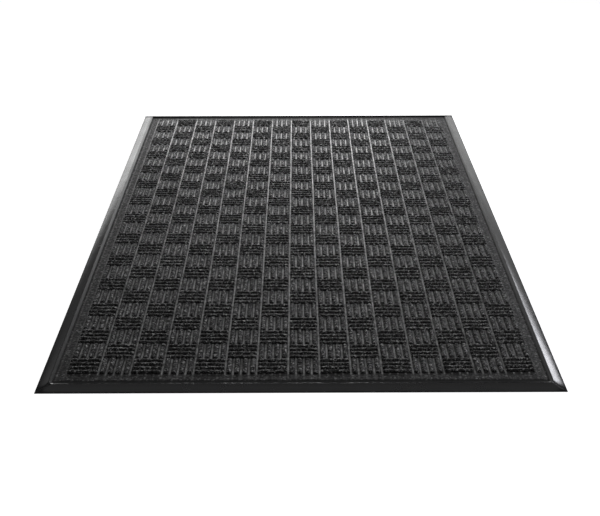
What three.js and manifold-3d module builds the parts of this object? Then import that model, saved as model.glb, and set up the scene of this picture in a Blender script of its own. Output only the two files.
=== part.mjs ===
// Commercial entrance door mat: a ribbed needle-punched carpet bonded to a flexible sheet,
// framed on all four sides by ramped edge strips that are mitred at the corners.
// Millimetres, +Z up. X is the width, Y the length. The origin is the middle of the underside.
import * as THREE from "three";
import { mergeVertices } from "three/addons/utils/BufferGeometryUtils.js";
import Module from "manifold-3d";

const wasm = await Module();
wasm.setup();

// Outside of the mat
const MAT_WIDTH = 914;
const MAT_LENGTH = 1524;

// Laminate, from the floor up
const BACKING_TOP = 2.25;
const BOND_TOP = 2.5;
const SCRIM_TOP = 3;
const WEB_TOP = 5.25;
const PILE_TOP = 9.5;

// Pile field: a basket weave of nearly square tiles. Open channels run the whole length between the
// columns. The field lies a little nearer the front, so the flat margin is wider at the back.
const TILE_WIDTH = 55;
const TILE_LENGTH = 54.25;
const COLUMNS = 15;
const ROWS = 26;
const CHANNEL_WIDTH = 4.5;
const FIELD_FORWARD = 3.25;

// Edge strip section. Inboard distances are measured from the outside of the mat.
const HEEL_WIDTH = 10;
const FLANGE_END = 18;
const LIP_HEIGHT = 2;
const LIP_ROUND = 1;
const RAMP_START = 3;
const RAMP_RISE = 0.25;
const RAMP_HOLLOW = 1.75;
const CREST_START = 19;
const CREST_END = 20;
const CREST_HEIGHT = 7.25;
const CREST_ROUND = 0.125;
const FACE_FOOT = 24.5;
const TOE_END = 25;
const TOE_THICKNESS = 0.25;
const MITRE_GAP = 0.3;

const CURVE_STEPS = 6;

const vinyl = { color: 0x1b1b1d, roughness: 0.42, metalness: 0 };
const finish = {
  carpet: { color: 0x2c2c2e, roughness: 0.95, metalness: 0 },
  scrim: { color: 0x8c8a84, roughness: 0.9, metalness: 0 },
  bond: { color: 0x3a3836, roughness: 0.5, metalness: 0 },
  backing: { color: 0x161617, roughness: 0.6, metalness: 0 },
  edge: vinyl,
};

// A closed three.js geometry as a manifold-3d solid.
function solidFrom(geometry) {
  const bare = geometry.clone();
  bare.deleteAttribute("normal");
  bare.deleteAttribute("uv");
  const merged = mergeVertices(bare, 1e-4);
  const vertProperties = new Float32Array(merged.attributes.position.array);
  const triVerts = new Uint32Array(merged.index.array);
  return new wasm.Manifold(new wasm.Mesh({ numProp: 3, vertProperties, triVerts }));
}

// A manifold-3d solid as a three.js geometry.
function geometryFrom(solid) {
  const mesh = solid.getMesh();
  const geometry = new THREE.BufferGeometry();
  geometry.setAttribute("position", new THREE.BufferAttribute(mesh.vertProperties, 3));
  geometry.setIndex(new THREE.BufferAttribute(mesh.triVerts, 1));
  geometry.computeVertexNormals();
  return geometry;
}

function namedMesh(name, geometry, look) {
  const mesh = new THREE.Mesh(geometry, new THREE.MeshStandardMaterial(look));
  mesh.name = name;
  return mesh;
}

// A flat layer of the laminate, inset evenly from the outside of the mat.
function layerGeometry(inset, bottom, top) {
  const width = MAT_WIDTH - 2 * inset;
  const length = MAT_LENGTH - 2 * inset;
  const geometry = new THREE.BoxGeometry(width, length, top - bottom);
  geometry.translate(0, 0, (bottom + top) / 2);
  return geometry;
}

function layer(name, inset, bottom, top, look) {
  return namedMesh(name, layerGeometry(inset, bottom, top), look);
}

// The solid body of one column of tiles. It reaches down into the web so that the two join.
function pileColumn(index) {
  const bottom = SCRIM_TOP + (WEB_TOP - SCRIM_TOP) / 2;
  const outermost = index === 0 || index === COLUMNS - 1;
  const trimmed = outermost ? CHANNEL_WIDTH / 2 : CHANNEL_WIDTH;
  const shift = outermost ? Math.sign(index - 1) * (CHANNEL_WIDTH / 4) : 0;
  const centre = (index - (COLUMNS - 1) / 2) * TILE_WIDTH + shift;
  const geometry = new THREE.BoxGeometry(TILE_WIDTH - trimmed, ROWS * TILE_LENGTH, PILE_TOP - bottom);
  geometry.translate(centre, -FIELD_FORWARD, (PILE_TOP + bottom) / 2);
  return solidFrom(geometry);
}

// The carpet: a compressed web that shows as a flat margin and as the channels, with the pile on it.
function carpetFace() {
  let carpet = solidFrom(layerGeometry(FLANGE_END, SCRIM_TOP, WEB_TOP));
  for (let index = 0; index < COLUMNS; index += 1) {
    carpet = carpet.add(pileColumn(index));
  }
  return namedMesh("carpet_face", geometryFrom(carpet), finish.carpet);
}

// The section of an edge strip: x runs inboard from the outside of the mat, y is the height.
// A heel stands on the floor, a step laps the backing sheet, and a thin toe laps the carpet.
// On top, a hollow ramp climbs to a narrow rounded crest, and a flat face falls from it to the toe.
function stripSection() {
  const toeTop = WEB_TOP + TOE_THICKNESS;
  const shoulder = CREST_HEIGHT - CREST_ROUND;
  const crestMiddle = (CREST_START + CREST_END) / 2;
  const rampMiddle = (RAMP_START + CREST_START) / 2;
  const shape = new THREE.Shape();
  shape.moveTo(0, 0);
  shape.lineTo(HEEL_WIDTH, 0);
  shape.lineTo(HEEL_WIDTH, BACKING_TOP);
  shape.lineTo(FLANGE_END, BACKING_TOP);
  shape.lineTo(FLANGE_END, WEB_TOP);
  shape.lineTo(TOE_END, WEB_TOP);
  shape.lineTo(TOE_END, toeTop);
  shape.lineTo(FACE_FOOT, toeTop);
  shape.lineTo(CREST_END, shoulder);
  shape.quadraticCurveTo(crestMiddle, CREST_HEIGHT + CREST_ROUND, CREST_START, shoulder);
  shape.quadraticCurveTo(rampMiddle, LIP_HEIGHT + RAMP_HOLLOW, RAMP_START, LIP_HEIGHT + RAMP_RISE);
  shape.lineTo(LIP_ROUND, LIP_HEIGHT);
  shape.quadraticCurveTo(0, LIP_HEIGHT, 0, LIP_HEIGHT - LIP_ROUND);
  shape.closePath();
  return shape;
}

// One strip along +Y on the -X side of a mat that is 2 * halfSpan across, cut at 45 degrees at both
// ends. Each end vertex is drawn back by its own inboard distance, which is what makes the mitre.
function stripGeometry(halfSpan, halfLength) {
  const options = { depth: 1, steps: 1, bevelEnabled: false, curveSegments: CURVE_STEPS };
  const geometry = new THREE.ExtrudeGeometry(stripSection(), options);
  const position = geometry.attributes.position;
  const clearance = MITRE_GAP * Math.SQRT1_2;
  for (let i = 0; i < position.count; i += 1) {
    const inboard = position.getX(i);
    const height = position.getY(i);
    const end = position.getZ(i) > 0.5 ? -1 : 1;
    position.setXYZ(i, inboard - halfSpan, end * (halfLength - inboard - clearance), height);
  }
  geometry.computeVertexNormals();
  return geometry;
}

function edgeStrip(name, turns, halfSpan, halfLength) {
  const strip = namedMesh(name, stripGeometry(halfSpan, halfLength), finish.edge);
  strip.rotation.z = (turns * Math.PI) / 2;
  return strip;
}

const group = new THREE.Group();
group.add(layer("backing_sheet", HEEL_WIDTH, 0, BACKING_TOP, finish.backing));
group.add(layer("bond_layer", FLANGE_END, BACKING_TOP, BOND_TOP, finish.bond));
group.add(layer("carpet_scrim", FLANGE_END, BOND_TOP, SCRIM_TOP, finish.scrim));
group.add(carpetFace());
group.add(edgeStrip("edge_strip_left", 0, MAT_WIDTH / 2, MAT_LENGTH / 2));
group.add(edgeStrip("edge_strip_front", 1, MAT_LENGTH / 2, MAT_WIDTH / 2));
group.add(edgeStrip("edge_strip_right", 2, MAT_WIDTH / 2, MAT_LENGTH / 2));
group.add(edgeStrip("edge_strip_back", 3, MAT_LENGTH / 2, MAT_WIDTH / 2));

export default group;
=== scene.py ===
"""Entrance door mat: ribbed basket-weave carpet on a flexible sheet, framed by black vinyl ramps.

Metres throughout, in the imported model's own frame: X is the width, Y the length, Z is up, and the
origin is the middle of the underside. Sizes that the model doesn't give are named below. Those that
are multiplied by MM are in metres, and comments say which of the others are in millimetres.
"""

import math

import bmesh
import bpy
import numpy as np
from mathutils import Matrix, Vector

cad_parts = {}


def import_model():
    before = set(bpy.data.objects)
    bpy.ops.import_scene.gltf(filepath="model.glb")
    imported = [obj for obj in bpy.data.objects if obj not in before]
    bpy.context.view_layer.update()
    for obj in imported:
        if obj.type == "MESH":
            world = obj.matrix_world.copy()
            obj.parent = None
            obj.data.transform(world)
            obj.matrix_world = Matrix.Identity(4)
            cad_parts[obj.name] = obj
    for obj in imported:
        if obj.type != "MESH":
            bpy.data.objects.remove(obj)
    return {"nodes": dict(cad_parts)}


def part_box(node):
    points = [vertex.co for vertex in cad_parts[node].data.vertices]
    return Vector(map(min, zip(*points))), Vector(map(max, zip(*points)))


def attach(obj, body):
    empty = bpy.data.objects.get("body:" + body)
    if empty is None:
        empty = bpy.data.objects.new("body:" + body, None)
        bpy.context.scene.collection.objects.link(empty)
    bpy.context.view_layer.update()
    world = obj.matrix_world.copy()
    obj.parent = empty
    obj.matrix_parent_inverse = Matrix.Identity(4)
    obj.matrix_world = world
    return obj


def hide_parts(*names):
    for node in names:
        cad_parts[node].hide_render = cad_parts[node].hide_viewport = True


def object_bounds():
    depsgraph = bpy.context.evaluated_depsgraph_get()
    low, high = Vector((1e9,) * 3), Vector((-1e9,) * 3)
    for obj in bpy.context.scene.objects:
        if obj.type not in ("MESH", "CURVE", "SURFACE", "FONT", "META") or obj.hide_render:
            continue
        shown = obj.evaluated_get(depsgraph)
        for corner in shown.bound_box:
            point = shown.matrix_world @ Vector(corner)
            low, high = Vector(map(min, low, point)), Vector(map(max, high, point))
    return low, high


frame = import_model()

CAD_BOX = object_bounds()
HALF_WIDTH = CAD_BOX[1].x
HALF_LENGTH = CAD_BOX[1].y
MM = 0.001

# The pile field: 15 by 26 tiles of four ribs, turned crossways and lengthways in turn
TILE_WIDTH = 55 * MM
TILE_LENGTH = 54.25 * MM
COLUMNS = 15
ROWS = 26
RIBS = 4
FIELD_FORWARD = 3.25 * MM
FIELD_X = -COLUMNS * TILE_WIDTH / 2
FIELD_Y = -ROWS * TILE_LENGTH / 2 - FIELD_FORWARD

# The carpet isn't woven true. Each pair is a row of tiles and a distance in millimetres: how far the
# row lies behind an even spacing, and how much further back its left end lies than its middle.
ROW_DRIFT = (
    (0, 0), (2, -6.5), (4, -11), (7, -8.75), (10, -2),
    (12.5, 3), (15, 0), (18, -3), (22, -3.5), (26, 0),
)
ROW_SKEW = ((0, -1), (2, 3), (8, 6), (14, 10.5), (20, 10), (26, 7.5))

# Other faults of the weave, in millimetres
ROW_CURL = 2.5  # how much further back both ends of a row lie than its middle
ROW_WAVE = 0.5
ROW_RIPPLE = 0.3
COLUMN_BOW = 4.4  # how far the middle columns lie to the right of an even spacing
COLUMN_SHIFT = 0.6  # how far all columns lie to the right
COLUMN_LEAN = 1.3  # how much further to the right they lie at the back
COLUMN_SPREAD = 1.5  # how far the outermost columns lie outwards at the front
COLUMN_WAVE = 0.35

# How fast those waves go, in radians for a metre to the right and for a metre back
ROW_WAVE_RATE = (11.0, 3.1)
ROW_WAVE_START = 1.3
ROW_RIPPLE_RATE = (37.0, 5.0)
COLUMN_WAVE_RATE = (14.0, 9.0)

# Heights inside the carpet
WEB_TOP = 5.25 * MM
RIB_ROOT = 4.7 * MM
PILE_TOP = 9.5 * MM

# One rib: points on its section and along it, its size, and how square its shoulders are
RIB_ACROSS = 14
RIB_ALONG = 44
RIB_WIDTH_LENGTHWAYS = 8.7 * MM
RIB_WIDTH_CROSSWAYS = 10.2 * MM
RIB_LENGTH_LENGTHWAYS = 52.8 * MM
RIB_LENGTH_CROSSWAYS = 51.4 * MM
SQUARENESS = 2.1
CROWN_BELOW_TOP = 0.35 * MM
TUFT_ABOVE_TOP = 0.6 * MM

# A rib is rounded off at its ends: over this share of half its length, to these shares of its size
SOFT_END = 0.10
END_WIDTH = 0.72
END_HEIGHT = 0.62

# How much ribs differ. The first three are shares of a size.
LENGTH_SPREAD = 0.006
SWELL = 0.05
CROWN_SWELL = 0.05
SNAKE = 0.32 * MM
TUFT = 0.42 * MM
FUZZ = 0.15 * MM
SCATTER = 0.16 * MM
COLUMN_SEED = 1000

# The web. Its grid lines are close together along the strips, at these distances in millimetres.
WEB_LINES = (0, 6.8, 8.5, 10, 11.5, 13, 14.5, 16, 18, 20, 22.5, 26)
WEB_LINES_ACROSS = 150
WEB_LINES_ALONG = 250
WEB_UNEVEN = 0.10 * MM
WEB_SETTLED = 0.05 * MM
WEB_SEED = 77

# The margin is crushed into a shallow groove: (distance from the strip, depth) in millimetres. Along the
# strips it is duller, and painted shadow darkens it, in a band narrower along the left and right strips
# and wider at the back.
GROOVE = ((0, 0.2), (1.5, 1.0), (6, 0.9), (11, 0))
SHADOW_BAND_WIDTH = 11 * MM
SHADOW_BAND_FADE = 4 * MM
SHADOW_NARROWER_AT_SIDES = 7 * MM
SHADOW_WIDER_AT_BACK = 5 * MM

# Edge strip section, as (inboard, height) in millimetres
LIP_HEIGHT = 2.0
LIP_ROUND = 1.0
RAMP = ((3.0, 2.25), (11.0, 3.75), (19.0, 7.125))
CREST = ((19.2, 7.175), (19.45, 7.19), (19.8, 7.19), (19.83, 7.185), (19.86, 7.174))
INNER_FACE = ((20.0, 7.125), (24.5, 5.5))
TOE_TIP = ((24.9, 5.45), (25.0, 5.4))
TOE_LEAST = 5.3
UNDERSIDE = ((25.0, 5.25), (18.0, 5.25), (18.0, 2.25), (10.0, 2.25), (10.0, 0.0), (0.4, 0.0))
TOE_END = UNDERSIDE[0][0]
FLANGE_END = UNDERSIDE[1][0]
CREASE = 0.12  # how close the points on both sides of a sharp fold are to it
LIP_POINTS = 5
RAMP_STEPS = 12
FACE_POINTS = 6

# Rings of points along a strip: their spacing, and their distances from the mitre in millimetres
RING_SPACING = 6 * MM
RINGS_FROM_MITRE = (0, 0.35, 0.8, 1.5, 2.5, 4, 6, 8, 10.5, 13.5, 17, 21, 26, 32, 40)

# Corners, in millimetres: contours curve round within this reach, a shallow weld seam runs along the
# mitre, and a pit marks the seam's inner end.
CORNER_REACH = 45.0
CORNER_POWER = 6.0
SEAM_DEPTH = 0.18
SEAM_WIDTH = 0.5
PIT_DEPTH = 0.65
PIT_WIDTH = 3.0
PIT_PLACE = 22.0
RIPPLE = 0.05
RIPPLE_LENGTHS = (17.0, 61.0)

# Each strip: quarter turns from the left one, its distance from the middle of the mat, half its
# length, and how much rougher its inner face is than its ramp
STRIPS = {
    "left": (0, HALF_WIDTH, HALF_LENGTH, 0.2),
    "front": (1, HALF_LENGTH, HALF_WIDTH, -0.12),
    "right": (2, HALF_WIDTH, HALF_LENGTH, 0.3),
    "back": (3, HALF_LENGTH, HALF_WIDTH, 0.0),
}

# The sheet underneath
BACKING_LINES_ACROSS = 180
BACKING_LINES_ALONG = 300
PEBBLE = 0.12 * MM
PEBBLE_MOST = 0.35 * MM
BACKING_SEED = 5

# No fibre is paler than this
PALEST = 0.85

# Soft lights, all turned towards the origin: place, width, height, brightness in a mirror, colour
WHITE = (1, 1, 1)
COOL = (0.95, 0.95, 1.0)
SOFTBOXES = {
    "back_strip": ((-0.1, 2.0, 0.36), 1.05, 0.48, 5.2, WHITE),
    "back_left": ((-0.95, 2.0, 0.4), 0.4, 0.7, 2.1, WHITE),
    "back_wide": ((-0.15, 2.05, 0.5), 2.3, 0.8, 0.45, WHITE),
    "back_upper": ((0.3, 2.0, 0.75), 0.5, 0.3, 3.4, WHITE),
    "back_right": ((0.95, 2.0, 0.38), 0.4, 0.6, 0.9, WHITE),
    "right_behind": ((1.35, 1.9, 0.6), 0.6, 1.0, 0.5, WHITE),
    "right_near": ((1.6, 1.0, 0.62), 0.6, 0.36, 9.2, COOL),
    "right_front": ((1.4, -1.4, 1.6), 0.8, 0.8, 1.2, WHITE),
    "right_high": ((2.1, -0.6, 0.95), 0.9, 0.7, 2.6, WHITE),
    "right_low": ((1.38, 1.02, 0.24), 0.6, 0.24, 4.2, COOL),
    "left_behind": ((-1.75, 1.8, 0.8), 1.0, 0.8, 0.15, WHITE),
    "left_wide": ((-2.2, 0.6, 0.75), 2.4, 1.2, 0.22, WHITE),
    "left_high": ((-2.1, -0.6, 1.15), 0.9, 0.7, 0.3, WHITE),
    "overhead": ((0, 0.3, 2.2), 3.2, 1.4, 0.4, WHITE),
}
WORLD_LIGHT = 0.02

# The camera, with its angles in degrees and its lens and sensor in millimetres
CAMERA_PLACE = (-0.0067, -2.3342, 1.0035)
CAMERA_LENS = 64.87
CAMERA_SENSOR = 36.0
CAMERA_PITCH = 25.43
CAMERA_YAW = -0.183
CAMERA_ROLL = 0.097
CAMERA_NEAR = 0.05
CAMERA_FAR = 60.0

# The floor: half its width, how far it lies below the mat, and its paint
FLOOR_REACH = 14.0
FLOOR_BELOW = 0.2 * MM
FLOOR_TONE = 0.9
FLOOR_ROUGHNESS = 0.9
FLOOR_GLOW = 0.95


# ---------------------------------------------------------------- mesh helpers


def quad_mesh(name, points, quads):
    """An object from an array of points and an array of four-sided faces, turned to face out."""
    points = np.asarray(points, np.float64).reshape(-1, 3)
    quads = np.asarray(quads, np.int64).reshape(-1, 4)
    a, b, c, d = (points[quads[:, i]] for i in range(4))
    volume = np.einsum("ij,ij->i", a, np.cross(b, c)).sum()
    volume += np.einsum("ij,ij->i", a, np.cross(c, d)).sum()
    if volume < 0:
        quads = quads[:, ::-1]
    mesh = bpy.data.meshes.new(name)
    mesh.vertices.add(len(points))
    mesh.vertices.foreach_set("co", points.ravel())
    mesh.loops.add(quads.size)
    mesh.loops.foreach_set("vertex_index", quads.ravel().astype(np.int32))
    mesh.polygons.add(len(quads))
    mesh.polygons.foreach_set("loop_start", np.arange(0, quads.size, 4, dtype=np.int32))
    mesh.update(calc_edges=True)
    mesh.polygons.foreach_set("use_smooth", np.ones(len(quads), bool))
    piece = bpy.data.objects.new(name, mesh)
    bpy.context.scene.collection.objects.link(piece)
    return piece


def tube_quads(rings, around, closed_ends=True):
    """Faces of a tube of `rings` rings with `around` points each. Ladders of quads close its ends."""
    ring = np.arange(rings - 1)[:, None] * around
    this = np.arange(around)[None, :]
    following = (this + 1) % around
    far_ring = ring + around
    sides = np.stack([ring + this, ring + following, far_ring + following, far_ring + this], -1)
    faces = [sides.reshape(-1, 4)]
    if closed_ends:
        rung = np.arange(around // 2 - 1)
        cap = np.stack([rung, around - 1 - rung, around - 2 - rung, rung + 1], -1)
        faces += [cap, (cap + (rings - 1) * around)[:, ::-1]]
    return np.concatenate(faces)


def slab(name, gx, gy, bottom, top, material):
    """A closed sheet between two height fields over the same grid."""
    nx, ny = gx.shape
    upper = np.stack([gx, gy, top], -1).reshape(-1, 3)
    lower = np.stack([gx, gy, bottom], -1).reshape(-1, 3)
    index = np.arange(nx * ny).reshape(nx, ny)
    cell = np.stack([index[:-1, :-1], index[1:, :-1], index[1:, 1:], index[:-1, 1:]], -1)
    cell = cell.reshape(-1, 4)
    rim = np.concatenate([index[:, 0], index[-1, 1:], index[-2::-1, -1], index[0, -2::-1]])
    this, following = rim[:-1], rim[1:]
    under = nx * ny
    wall = np.stack([this, this + under, following + under, following], -1)
    quads = np.concatenate([cell, cell[:, ::-1] + under, wall])
    piece = quad_mesh(name, np.concatenate([upper, lower]), quads)
    piece.data.materials.append(material)
    return piece


def paint(piece, name, values):
    """Gives each point of a piece a value that its material can read by name."""
    values = np.asarray(values, np.float32).ravel()
    piece.data.attributes.new(name, "FLOAT", "POINT").data.foreach_set("value", values)


def smooth_noise(rng, shape, spacing):
    """Random values of unit size on a grid, each `spacing` steps blended into the next."""
    just_short = 1.001  # the grid stops just short of the last value, so that each has a next one
    coarse = [max(2, int(math.ceil(n / s)) + 1) for n, s in zip(shape[-2:], spacing)]
    values = rng.normal(size=(*shape[:-2], *coarse))
    for axis, (count, points) in enumerate(zip(shape[-2:], coarse)):
        place = np.linspace(0, points - just_short, count)
        low = place.astype(int)
        part = place - low
        part = part * part * (3 - 2 * part)
        values = np.moveaxis(values, axis - 2, -1)
        values = values[..., low] * (1 - part) + values[..., low + 1] * part
        values = np.moveaxis(values, -1, axis - 2)
    return values


# ---------------------------------------------------------------- carpet


def wander(x, y):
    """Where a point of an even pattern lies in the carpet, which is bowed, skewed and a little wavy."""
    across = x / -FIELD_X
    row = (y - FIELD_Y) / TILE_LENGTH
    back = row / ROWS
    middle = 1 - across**2

    right, behind = COLUMN_WAVE_RATE
    lean = COLUMN_SHIFT + COLUMN_LEAN * back + COLUMN_SPREAD * across * (1 - back)
    dx = COLUMN_BOW * MM * middle + lean * MM
    dx += COLUMN_WAVE * MM * np.sin(behind * y + right * x) * middle

    drift = np.interp(row, *zip(*ROW_DRIFT))
    skew = np.interp(row, *zip(*ROW_SKEW))
    dy = drift - across * skew + ROW_CURL * across**2
    right, behind = ROW_WAVE_RATE
    wave = ROW_WAVE * np.sin(right * x + ROW_WAVE_START) * np.cos(behind * y)
    right, behind = ROW_RIPPLE_RATE
    wave = wave + ROW_RIPPLE * np.sin(right * x + behind * y)
    return x + dx, y + (dy + wave) * MM


def rib_places(column):
    """The middle of each rib of a column of tiles, and whether it runs crossways."""
    places = []
    for row in range(ROWS):
        crossways = (row + column) % 2 == 0
        x = FIELD_X + (column + 0.5) * TILE_WIDTH
        y = FIELD_Y + (row + 0.5) * TILE_LENGTH
        for rib in range(RIBS):
            share = (rib - (RIBS - 1) / 2) / RIBS
            if crossways:
                places.append((x, y + share * TILE_LENGTH, True))
            else:
                places.append((x + share * TILE_WIDTH, y, False))
    return places


def rib_section():
    """A rib's section: across from -1 to 1, up from 0 to 1, a square-shouldered arch."""
    angle = np.linspace(math.pi, 0, RIB_ACROSS)
    across = np.sign(np.cos(angle)) * np.abs(np.cos(angle)) ** (2 / SQUARENESS)
    up = np.sin(angle) ** (2 / SQUARENESS)
    return across, up


def pile_column(column, material):
    """One column of the pile: its ribs, each a lumpy rounded bar with soft ends, rooted in the web.

    It is painted with how high each point is on its rib, from 0 to 1, for painted shade and highlight.
    """
    rng = np.random.default_rng(COLUMN_SEED + column)
    places = rib_places(column)
    count = len(places)
    crossways = np.array([place[2] for place in places])
    centre = np.array([place[:2] for place in places])
    length = np.where(crossways, RIB_LENGTH_CROSSWAYS, RIB_LENGTH_LENGTHWAYS)
    length = length * rng.normal(1, LENGTH_SPREAD, count)
    width = np.where(crossways, RIB_WIDTH_CROSSWAYS, RIB_WIDTH_LENGTHWAYS)

    across, up = rib_section()
    share = np.linspace(-1, 1, RIB_ALONG)
    rounding = np.clip((1 - np.abs(share)) / SOFT_END, 0, 1) ** 0.5
    narrow = END_WIDTH + (1 - END_WIDTH) * rounding
    low = END_HEIGHT + (1 - END_HEIGHT) * rounding

    line = (count, RIB_ALONG, 1)
    grid = (count, RIB_ALONG, RIB_ACROSS)
    snake = smooth_noise(rng, line, (5, 1))[..., 0] * SNAKE
    swell = 1 + SWELL * smooth_noise(rng, line, (4, 1))[..., 0]
    crown = 1 + CROWN_SWELL * smooth_noise(rng, line, (3, 1))[..., 0]
    tuft = smooth_noise(rng, grid, (2, 2)) * TUFT
    fuzz = rng.normal(size=grid) * FUZZ
    scatter = rng.normal(size=grid) * SCATTER

    half = (width[:, None] / 2 * swell * narrow)[..., None]
    tall = ((PILE_TOP - CROWN_BELOW_TOP - RIB_ROOT) * crown * low)[..., None]
    lift = tuft + fuzz
    sideways = snake[..., None] + across * (half + lift)
    height = RIB_ROOT + up * (tall + lift)
    height = np.minimum(height, PILE_TOP + TUFT_ABOVE_TOP)
    height[..., 0] = height[..., -1] = RIB_ROOT
    run = (share * length[:, None] / 2)[..., None] + scatter
    turned = crossways[:, None, None]
    x = centre[:, 0, None, None] + np.where(turned, run, sideways)
    y = centre[:, 1, None, None] + np.where(turned, sideways, run)
    x, y = wander(x, y)
    points = np.stack([x, y, height], -1)

    # A crossways rib is a mirror image of a lengthways one, so its faces run the other way round.
    faces = tube_quads(RIB_ALONG, RIB_ACROSS)
    step = RIB_ALONG * RIB_ACROSS
    quads = [(faces[:, ::-1] if crossways[i] else faces) + i * step for i in range(count)]
    piece = quad_mesh(f"pile_column_{column + 1:02d}", points, np.concatenate(quads))
    paint(piece, "raised", np.broadcast_to(up, height.shape))
    piece.data.materials.append(material)
    return piece


def web_lines(low, high, count):
    """Places of grid lines from one edge of the web to the other, close together along the strips."""
    near = np.array(WEB_LINES) * MM
    middle = np.linspace(low + near[-1], high - near[-1], count)[1:-1]
    return np.concatenate([low + near, middle, (high - near)[::-1]])


def carpet_web(material):
    """The pressed felt that carries the pile, with a groove crushed into it along the strips.

    It is painted with where it is ironed flat between the ribs, where each point lies among a tile's
    ribs, counted in ribs from the left, and where it is crushed duller and darkened by painted shadow
    along the strips.
    """
    low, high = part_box("carpet_face")
    rng = np.random.default_rng(WEB_SEED)
    xs = web_lines(low.x, high.x, WEB_LINES_ACROSS)
    ys = web_lines(low.y, high.y, WEB_LINES_ALONG)
    gx, gy = np.meshgrid(xs, ys, indexing="ij")

    toe = TOE_END * MM
    from_strip = np.minimum(HALF_WIDTH - np.abs(gx), HALF_LENGTH - np.abs(gy)) - toe
    open_top = from_strip > 0
    uneven = WEB_UNEVEN * smooth_noise(rng, gx.shape, (2, 2)) - WEB_SETTLED
    groove = np.interp(from_strip / MM, *zip(*GROOVE)) * MM
    top = WEB_TOP + uneven * open_top - groove * open_top
    web = slab("carpet_web", gx, gy, np.full_like(gx, low.z), top, material)

    field_back = FIELD_Y + ROWS * TILE_LENGTH
    in_field = (np.abs(gx) < -FIELD_X) & (gy > FIELD_Y) & (gy < field_back)
    even_x = 2 * gx - wander(gx, gy)[0]
    rib_place = (even_x - FIELD_X) / (TILE_WIDTH / RIBS)
    # The band of painted shadow along the strips, where the margin is also crushed duller: narrower at
    # the sides, wider at the back
    from_side = HALF_WIDTH - np.abs(gx) - toe + SHADOW_NARROWER_AT_SIDES
    from_front = HALF_LENGTH + gy - toe
    from_back = HALF_LENGTH - gy - toe - SHADOW_WIDER_AT_BACK
    nearest = np.minimum(from_side, np.minimum(from_front, from_back))
    crushed_and_shadow = np.clip((SHADOW_BAND_WIDTH - nearest) / SHADOW_BAND_FADE, 0, 1)
    for name, values in (("ironed", in_field), ("rib_place", rib_place), ("crushed_and_shadow", crushed_and_shadow)):
        paint(web, name, np.tile(values.ravel(), 2))
    return web


# ---------------------------------------------------------------- edge strips


def bezier(points, steps):
    """Points along a quadratic curve, leaving out its first."""
    p0, p1, p2 = (np.array(p) for p in points)
    t = np.linspace(0, 1, steps + 1)[1:, None]
    return (1 - t) ** 2 * p0 + 2 * t * (1 - t) * p1 + t**2 * p2


def towards(start, end, distance):
    """The point at a distance from start, on the way to end."""
    start, end = np.array(start), np.array(end)
    return start + (end - start) * distance / np.linalg.norm(end - start)


def strip_top():
    """The strip's upper line from the lip to the toe, as (inboard, height) in millimetres."""
    turn = np.linspace(0, math.pi / 2, LIP_POINTS)[:, None]
    lip = np.concatenate([1 - np.cos(turn), np.sin(turn)], 1) * LIP_ROUND
    lip = lip + (0, LIP_HEIGHT - LIP_ROUND)
    ramp = bezier(RAMP, RAMP_STEPS)
    brow, foot = INNER_FACE
    face = np.linspace(towards(brow, foot, CREASE), towards(foot, brow, CREASE), FACE_POINTS)
    return np.concatenate([lip, RAMP[:1], ramp, CREST, face, [foot], TOE_TIP])


def corner_distance(a, b):
    """The distance inboard near a corner, where two strips' contours run into each other in a curve."""
    u = np.clip(CORNER_REACH - a, 0, None) / CORNER_REACH
    v = np.clip(CORNER_REACH - b, 0, None) / CORNER_REACH
    return CORNER_REACH * (1 - (u**CORNER_POWER + v**CORNER_POWER) ** (1 / CORNER_POWER))


def edge_strip(name, turns, half_span, half_length, face_dullness, material):
    """One strip, mitred at both ends. Its rings are closest together where it meets its neighbours.

    Its inner face is painted with how much rougher it is than the ramp.
    """
    top = strip_top()
    section = np.concatenate([top, UNDERSIDE])
    inboard, height = section[:, 0], section[:, 1]
    on_top = np.arange(len(section)) < len(top)
    shaped = on_top & (inboard > LIP_ROUND)
    on_ramp = shaped & (inboard > RAMP[0][0])
    on_face = on_top & (inboard > CREST[-1][0])
    on_toe = on_top & (inboard > FLANGE_END)

    reach = half_length / MM - inboard
    near = np.array(RINGS_FROM_MITRE)[:, None]
    middle = np.linspace(-1, 1, int(half_length / RING_SPACING))[1:-1, None] * (reach - near[-1])
    along = np.concatenate([near - reach, middle, (reach - near)[::-1]])

    from_end = half_length / MM - np.abs(along)
    deep = np.maximum(corner_distance(inboard, from_end), np.minimum(inboard, LIP_ROUND))
    risen = np.where(shaped, np.interp(deep, top[:, 0], top[:, 1]), height)
    seam = SEAM_DEPTH * np.exp(-(((from_end - inboard) / SEAM_WIDTH) ** 2)) * shaped
    from_pit = (inboard - PIT_PLACE) ** 2 + (from_end - PIT_PLACE) ** 2
    pit = PIT_DEPTH * np.exp(-from_pit / PIT_WIDTH**2) * on_top
    short, long = RIPPLE_LENGTHS
    ripple = RIPPLE * np.sin(along / short + turns) * np.sin(along / long) * on_ramp
    risen = risen - seam - pit + ripple
    risen = np.where(on_toe, np.maximum(risen, TOE_LEAST), np.maximum(risen, 0))

    x = np.broadcast_to(inboard * MM - half_span, along.shape)
    points = np.stack([x, -along * MM, risen * MM], -1).reshape(-1, 3)
    turn = np.array(Matrix.Rotation(turns * math.pi / 2, 3, "Z"))
    piece = quad_mesh(name, points @ turn.T, tube_quads(*along.shape, closed_ends=False))
    paint(piece, "face_dullness", np.broadcast_to(on_face * face_dullness, along.shape))
    close_ends(piece)
    piece.data.materials.append(material)
    return piece


def close_ends(piece):
    """Fills the two mitred end faces."""
    shell = bmesh.new()
    shell.from_mesh(piece.data)
    rims = [edge for edge in shell.edges if edge.is_boundary]
    bmesh.ops.holes_fill(shell, edges=rims, sides=0)
    ends = [face for face in shell.faces if len(face.verts) > 4]
    bmesh.ops.triangulate(shell, faces=ends)
    bmesh.ops.recalc_face_normals(shell, faces=shell.faces)
    for face in shell.faces:
        face.smooth = True
    shell.to_mesh(piece.data)
    shell.free()


# ---------------------------------------------------------------- backing


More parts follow.
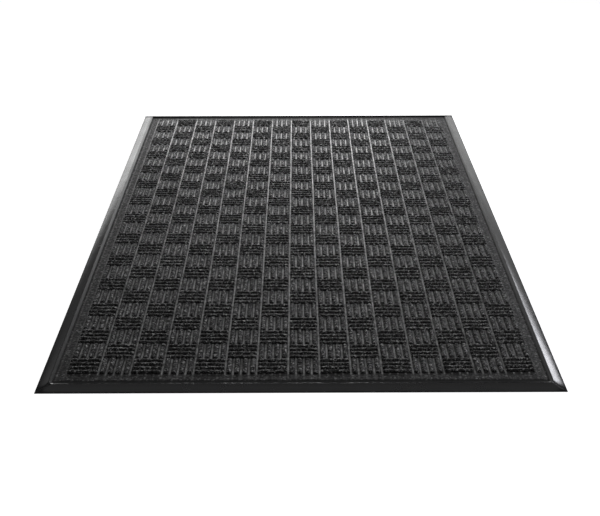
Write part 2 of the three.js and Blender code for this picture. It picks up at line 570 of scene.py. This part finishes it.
def backing(material):
    """The flexible sheet, smooth above, with a fine pebble pressed into its underside."""
    low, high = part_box("backing_sheet")
    rng = np.random.default_rng(BACKING_SEED)
    xs = np.linspace(low.x, high.x, BACKING_LINES_ACROSS)
    ys = np.linspace(low.y, high.y, BACKING_LINES_ALONG)
    gx, gy = np.meshgrid(xs, ys, indexing="ij")
    pebble = np.abs(smooth_noise(rng, gx.shape, (2, 2))) * PEBBLE
    pebble = np.clip(pebble, 0, PEBBLE_MOST)
    pebble[0, :] = pebble[-1, :] = 0
    pebble[:, 0] = pebble[:, -1] = 0
    return slab("backing_underside", gx, gy, low.z + pebble, np.full_like(gx, high.z), material)


# ---------------------------------------------------------------- materials


class Nodes:
    """A short way to write a material's nodes. Scales are in cells or waves for each metre."""

    def __init__(self, name):
        self.material = bpy.data.materials.new(name)
        self.material.use_nodes = True
        self.tree = self.material.node_tree
        self.shader = next(n for n in self.tree.nodes if n.type == "BSDF_PRINCIPLED")
        self.place = self.new("ShaderNodeTexCoord").outputs["Object"]

    def new(self, kind, **settings):
        node = self.tree.nodes.new(kind)
        for key, value in settings.items():
            setattr(node, key, value)
        return node

    def link(self, source, target):
        self.tree.links.new(source, target)

    def set(self, **values):
        """Gives sockets of the shader a number that is the same all over the surface."""
        for key, value in values.items():
            self.shader.inputs[key.replace("_", " ")].default_value = value

    def drive(self, name, source):
        """Gives a socket of the shader a value that varies over the surface."""
        self.link(source, self.shader.inputs[name])

    def painted(self, name):
        """The value that the mesh is painted with under that name."""
        return self.new("ShaderNodeAttribute", attribute_name=name).outputs["Fac"]

    def noise(self, scale, detail=2.0, roughness=0.5, distortion=0.0, output="Fac"):
        node = self.new("ShaderNodeTexNoise")
        node.inputs["Scale"].default_value = scale
        node.inputs["Detail"].default_value = detail
        node.inputs["Roughness"].default_value = roughness
        node.inputs["Distortion"].default_value = distortion
        self.link(self.place, node.inputs["Vector"])
        return node.outputs[output]

    def cells(self, scale, output="Distance", vector=None):
        node = self.new("ShaderNodeTexVoronoi", feature="F1")
        node.inputs["Scale"].default_value = scale
        self.link(vector or self.place, node.inputs["Vector"])
        return node.outputs[output]

    def cell_values(self, scale, vector=None):
        """A random value for each cell."""
        node = self.new("ShaderNodeSeparateColor")
        self.link(self.cells(scale, output="Color", vector=vector), node.inputs["Color"])
        return node.outputs["Red"]

    def ramp(self, value, stops):
        """A colour or a grey for each value, from (value, colour or grey) stops."""
        node = self.new("ShaderNodeValToRGB")
        elements = node.color_ramp.elements
        while len(elements) < len(stops):
            elements.new(0.5)
        for element, (place, colour) in zip(elements, stops):
            if not isinstance(colour, tuple):
                colour = (colour, colour, colour)
            element.position = place
            element.color = (*colour, 1)
        self.link(value, node.inputs["Fac"])
        return node.outputs["Color"]

    def between(self, value, low, high, new_low=0.0, new_high=1.0):
        """A value clamped between low and high, and stretched to new_low and new_high."""
        node = self.new("ShaderNodeMapRange")
        node.inputs["From Min"].default_value = low
        node.inputs["From Max"].default_value = high
        node.inputs["To Min"].default_value = new_low
        node.inputs["To Max"].default_value = new_high
        self.link(value, node.inputs["Value"])
        return node.outputs["Result"]

    def mix(self, share, first, second):
        """The first colour where the share is 0, the second where it is 1."""
        node = self.new("ShaderNodeMix", data_type="RGBA")
        factor = next(i for i in node.inputs if i.name == "Factor" and i.type == "VALUE")
        self.link(share, factor)
        for name, colour in (("A", first), ("B", second)):
            target = next(i for i in node.inputs if i.name == name and i.type == "RGBA")
            if isinstance(colour, tuple):
                target.default_value = (*colour, 1)
            else:
                self.link(colour, target)
        return next(o for o in node.outputs if o.type == "RGBA")

    def times(self, first, second):
        node = self.new("ShaderNodeVectorMath", operation="MULTIPLY")
        self.link(first, node.inputs[0])
        self.link(second, node.inputs[1])
        return node.outputs[0]

    def capped(self, colour, most):
        node = self.new("ShaderNodeVectorMath", operation="MINIMUM")
        self.link(colour, node.inputs[0])
        node.inputs[1].default_value = (most, most, most)
        return node.outputs[0]

    def add(self, first, second, weight=1.0):
        node = self.new("ShaderNodeMath", operation="MULTIPLY_ADD")
        self.link(second, node.inputs[0])
        node.inputs[1].default_value = weight
        self.link(first, node.inputs[2])
        return node.outputs[0]

    def bump(self, height, distance, strength):
        node = self.new("ShaderNodeBump")
        node.inputs["Distance"].default_value = distance
        node.inputs["Strength"].default_value = strength
        self.link(height, node.inputs["Height"])
        self.drive("Normal", node.outputs["Normal"])


def pile_material():
    """Charcoal polypropylene fibre: near-black tufts among grey ones, a scatter of pale ends, painted
    shade towards each rib's root and a painted highlight on its crest.
    """
    tuft_tones = ((0.0, 0.003), (0.35, 0.007), (0.62, 0.020), (0.82, 0.065), (0.93, 0.28), (1.0, 0.65))
    tuft_gloss = ((0.0, 0.9), (0.45, 0.7), (0.8, 0.42), (1.0, 0.3))
    fibre_tones = ((0.32, 0.25), (0.5, 0.9), (0.7, 2.2))
    # Painted shade and highlight: the fibre is darkened towards each rib's root and lightened at its
    # crest.
    shade_and_highlight_by_height = ((0.0, 0.08), (0.35, 0.45), (0.8, 0.9), (1.0, 1.4))
    warp = 3 * MM

    n = Nodes("pile_fibre")
    warped = n.new("ShaderNodeVectorMath", operation="MULTIPLY_ADD")
    n.link(n.noise(scale=300.0, output="Color"), warped.inputs[0])
    warped.inputs[1].default_value = (warp, warp, warp)
    n.link(n.place, warped.inputs[2])
    tuft = n.cell_values(scale=430.0, vector=warped.outputs[0])
    fibre = n.ramp(n.noise(scale=1300.0, detail=3.0, roughness=0.7), fibre_tones)
    # Painted shade at the rib roots, painted highlight at the crests
    painted_shade_and_highlight = n.ramp(n.painted("raised"), shade_and_highlight_by_height)
    colour = n.times(n.times(n.ramp(tuft, tuft_tones), fibre), painted_shade_and_highlight)
    n.drive("Base Color", n.capped(colour, PALEST))
    n.drive("Roughness", n.ramp(tuft, tuft_gloss))
    n.set(Sheen_Weight=0.55, Sheen_Roughness=0.3, Specular_IOR_Level=0.6)
    height = n.add(n.noise(scale=900.0, detail=3.0, roughness=0.65), n.cells(scale=640.0), 0.8)
    n.bump(height, distance=0.7 * MM, strength=0.8)
    return n.material


def web_material():
    """The same fibre pressed flat and half melted.

    The margin is dull with a speckle, and duller along the strips, where painted shadow darkens it.
    Between the ribs it is shinier, with a painted highlight along the middle of each channel and
    groove and painted shade beside the ribs. Distances are in ribs.
    """
    margin_tones = ((0.0, 0.008), (0.5, 0.034), (0.8, 0.08), (0.92, 0.16), (1.0, 0.28))
    # Painted shadow: the margin's darker colour along the strips
    shadow_tones = ((0.4, 0.008), (0.7, 0.035))
    # Painted highlight: the floor between the ribs is pale along the middle of each channel and groove.
    highlight_line_tones = ((0.34, 0.165), (0.5, 0.385), (0.62, 0.64), (0.74, 0.83))
    # Painted shade: the floor is dark beside the ribs.
    root_shade_tones = ((0.34, 0.004), (0.5, 0.015), (0.62, 0.04), (0.74, 0.1))
    patch_shades = ((0.32, 0.4), (0.68, 1.5))
    line_edge = (0.07, 0.14)  # from the line's middle: where it starts to fade and where it ends
    half_a_rib = 0.5  # the furthest that a point can be from the nearest line

    n = Nodes("pressed_web")
    ironed = n.painted("ironed")
    # Where painted shadow darkens the margin along the strips, which is also duller there
    crushed_and_shadow = n.painted("crushed_and_shadow")
    fine = n.noise(scale=620.0, detail=4.0, roughness=0.75)
    margin = n.mix(crushed_and_shadow, n.ramp(n.cell_values(scale=330.0), margin_tones), n.ramp(fine, shadow_tones))

    off_line = n.new("ShaderNodeMath", operation="PINGPONG")
    n.link(n.painted("rib_place"), off_line.inputs[0])
    off_line.inputs[1].default_value = half_a_rib
    beside = n.between(off_line.outputs[0], *line_edge)
    # Painted highlight along the middle of each channel and groove, painted shade beside the ribs
    floor_tones = n.mix(beside, n.ramp(fine, highlight_line_tones), n.ramp(fine, root_shade_tones))
    patches = n.ramp(n.noise(scale=70.0, detail=1.0), patch_shades)
    between_ribs = n.capped(n.times(floor_tones, patches), PALEST)
    n.drive("Base Color", n.mix(ironed, margin, between_ribs))

    mottle = n.noise(scale=430.0, roughness=0.6)
    roughness = n.between(mottle, 0.40, 0.62, new_low=0.74, new_high=0.34)
    roughness = n.add(roughness, ironed, -0.14)
    roughness = n.add(roughness, crushed_and_shadow, 0.68)
    n.drive("Roughness", n.add(roughness, beside, 0.25))
    n.set(Specular_IOR_Level=0.9)
    height = n.add(n.noise(scale=430.0, detail=3.0, roughness=0.6), n.noise(scale=1500.0), 0.2)
    n.bump(height, distance=0.16 * MM, strength=0.8)
    return n.material


def vinyl_material():
    """Satin black vinyl with faint draw lines, uneven gloss and a few scuffs."""
    tints = ((0.35, (0.0073, 0.0071, 0.0087)), (0.65, (0.0121, 0.0118, 0.0143)))
    scuffed = (0.035, 0.035, 0.036)

    n = Nodes("edge_vinyl")
    wide = n.noise(scale=14.0, detail=3.0, roughness=0.6)
    scratches = n.noise(scale=160.0, detail=5.0, roughness=0.75, distortion=1.2)
    n.drive("Base Color", n.mix(n.between(scratches, 0.62, 0.80), n.ramp(wide, tints), scuffed))
    roughness = n.between(wide, 0.3, 0.7, new_low=0.17, new_high=0.25)
    roughness = n.add(roughness, n.noise(scale=420.0), 0.06)
    n.drive("Roughness", n.add(roughness, n.painted("face_dullness")))
    height = n.add(n.noise(scale=55.0), n.noise(scale=900.0), 0.05)
    n.bump(height, distance=0.5 * MM, strength=0.35)
    return n.material


def backing_material():
    """Matt black sheet with a pebbled skin."""
    tints = ((0.0, (0.012, 0.012, 0.0125)), (0.7, (0.006, 0.006, 0.0065)))

    n = Nodes("backing_skin")
    pebble = n.cells(scale=260.0)
    n.drive("Base Color", n.ramp(pebble, tints))
    uneven = n.noise(scale=60.0, detail=3.0)
    n.drive("Roughness", n.between(uneven, 0.3, 0.7, new_low=0.5, new_high=0.68))
    n.bump(pebble, distance=0.6 * MM, strength=0.7)
    return n.material


def scrim_material():
    """Grey woven scrim, threads about a millimetre apart."""
    tints = ((0.1, (0.12, 0.115, 0.105)), (0.9, (0.32, 0.31, 0.285)))

    n = Nodes("woven_scrim")
    threads = []
    for direction in ("X", "Y"):
        wave = n.new("ShaderNodeTexWave", bands_direction=direction)
        wave.inputs["Scale"].default_value = 300.0
        wave.inputs["Distortion"].default_value = 0.6
        n.link(n.place, wave.inputs["Vector"])
        threads.append(wave.outputs["Fac"])
    weave = n.add(*threads)
    n.drive("Base Color", n.ramp(n.between(weave, 0.0, 2.0), tints))
    n.set(Roughness=0.88)
    n.bump(weave, distance=0.2 * MM, strength=0.6)
    return n.material


def bond_material():
    """Dark hot-melt film, a little cloudy."""
    tints = ((0.3, (0.025, 0.024, 0.022)), (0.7, (0.06, 0.057, 0.052)))

    n = Nodes("hot_melt_film")
    n.drive("Base Color", n.ramp(n.noise(scale=120.0, detail=4.0), tints))
    n.drive("Roughness", n.between(n.noise(scale=300.0), 0.3, 0.7, new_low=0.35, new_high=0.6))
    n.bump(n.noise(scale=500.0), distance=0.1 * MM, strength=0.4)
    return n.material


# ---------------------------------------------------------------- stage, lights, camera


def floor():
    """A white floor that glows a little and throws no light on the mat."""
    z = -FLOOR_BELOW
    corners = [(x * FLOOR_REACH, y * FLOOR_REACH, z) for x, y in ((-1, -1), (1, -1), (1, 1), (-1, 1))]
    mesh = bpy.data.meshes.new("studio_floor")
    mesh.from_pydata(corners, [], [(0, 1, 2, 3)])
    piece = bpy.data.objects.new("studio_floor", mesh)
    piece.visible_diffuse = False
    piece.visible_glossy = False
    bpy.context.scene.collection.objects.link(piece)
    material = bpy.data.materials.new("studio_white")
    material.use_nodes = True
    shader = next(n for n in material.node_tree.nodes if n.type == "BSDF_PRINCIPLED")
    shader.inputs["Base Color"].default_value = (FLOOR_TONE, FLOOR_TONE, FLOOR_TONE, 1)
    shader.inputs["Roughness"].default_value = FLOOR_ROUGHNESS
    shader.inputs["Emission Color"].default_value = (*WHITE, 1)
    shader.inputs["Emission Strength"].default_value = FLOOR_GLOW
    mesh.materials.append(material)


def softbox(name, place, width, height, brightness, colour):
    """A soft light turned towards the origin. Its brightness is what a mirror would show."""
    lamp = bpy.data.lights.new(name, "AREA")
    lamp.shape = "RECTANGLE"
    lamp.size = width
    lamp.size_y = height
    lamp.energy = brightness * math.pi * width * height
    lamp.color = colour
    thing = bpy.data.objects.new(name, lamp)
    to_origin = Vector() - Vector(place)
    turn = to_origin.to_track_quat("-Z", "Y").to_matrix().to_4x4()
    thing.matrix_world = Matrix.Translation(place) @ turn
    thing.visible_camera = False
    bpy.context.scene.collection.objects.link(thing)


def world():
    """White to the camera, and a faint light to everything else."""
    scene = bpy.context.scene
    scene.world = bpy.data.worlds.new("studio")
    scene.world.use_nodes = True
    tree = scene.world.node_tree
    back = next(n for n in tree.nodes if n.type == "BACKGROUND")
    back.inputs["Color"].default_value = (*WHITE, 1)
    path = tree.nodes.new("ShaderNodeLightPath")
    level = tree.nodes.new("ShaderNodeMapRange")
    level.inputs["To Min"].default_value = WORLD_LIGHT
    level.inputs["To Max"].default_value = 1.0
    tree.links.new(path.outputs["Is Camera Ray"], level.inputs["Value"])
    tree.links.new(level.outputs["Result"], back.inputs["Strength"])


def camera():
    """The camera, at the photograph's viewing angle."""
    data = bpy.data.cameras.new("camera")
    data.lens = CAMERA_LENS
    data.sensor_width = CAMERA_SENSOR
    data.clip_start = CAMERA_NEAR
    data.clip_end = CAMERA_FAR
    thing = bpy.data.objects.new("camera", data)
    turn = (
        Matrix.Rotation(math.radians(CAMERA_YAW), 4, "Z")
        @ Matrix.Rotation(math.radians(90 - CAMERA_PITCH), 4, "X")
        @ Matrix.Rotation(math.radians(-CAMERA_ROLL), 4, "Z")
    )
    thing.matrix_world = Matrix.Translation(CAMERA_PLACE) @ turn
    bpy.context.scene.collection.objects.link(thing)
    bpy.context.scene.camera = thing


# ---------------------------------------------------------------- assembly

camera()
floor()
world()
for name, settings in SOFTBOXES.items():
    softbox(name, *settings)
bpy.context.scene.view_settings.view_transform = "Standard"

nodes = frame["nodes"]
pile = pile_material()
pressed = web_material()
vinyl = vinyl_material()

web = carpet_web(pressed)
columns = [pile_column(i, pile) for i in range(COLUMNS)]
for piece in (web, *columns):
    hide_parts("carpet_face")
    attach(piece, "root")

for side, settings in STRIPS.items():
    strip = edge_strip(f"ramp_{side}", *settings, vinyl)
    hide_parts(f"edge_strip_{side}")
    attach(strip, "root")

under = backing(backing_material())
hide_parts("backing_sheet")
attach(under, "root")

for node, material in (("carpet_scrim", scrim_material()), ("bond_layer", bond_material())):
    nodes[node].data.materials.clear()
    nodes[node].data.materials.append(material)
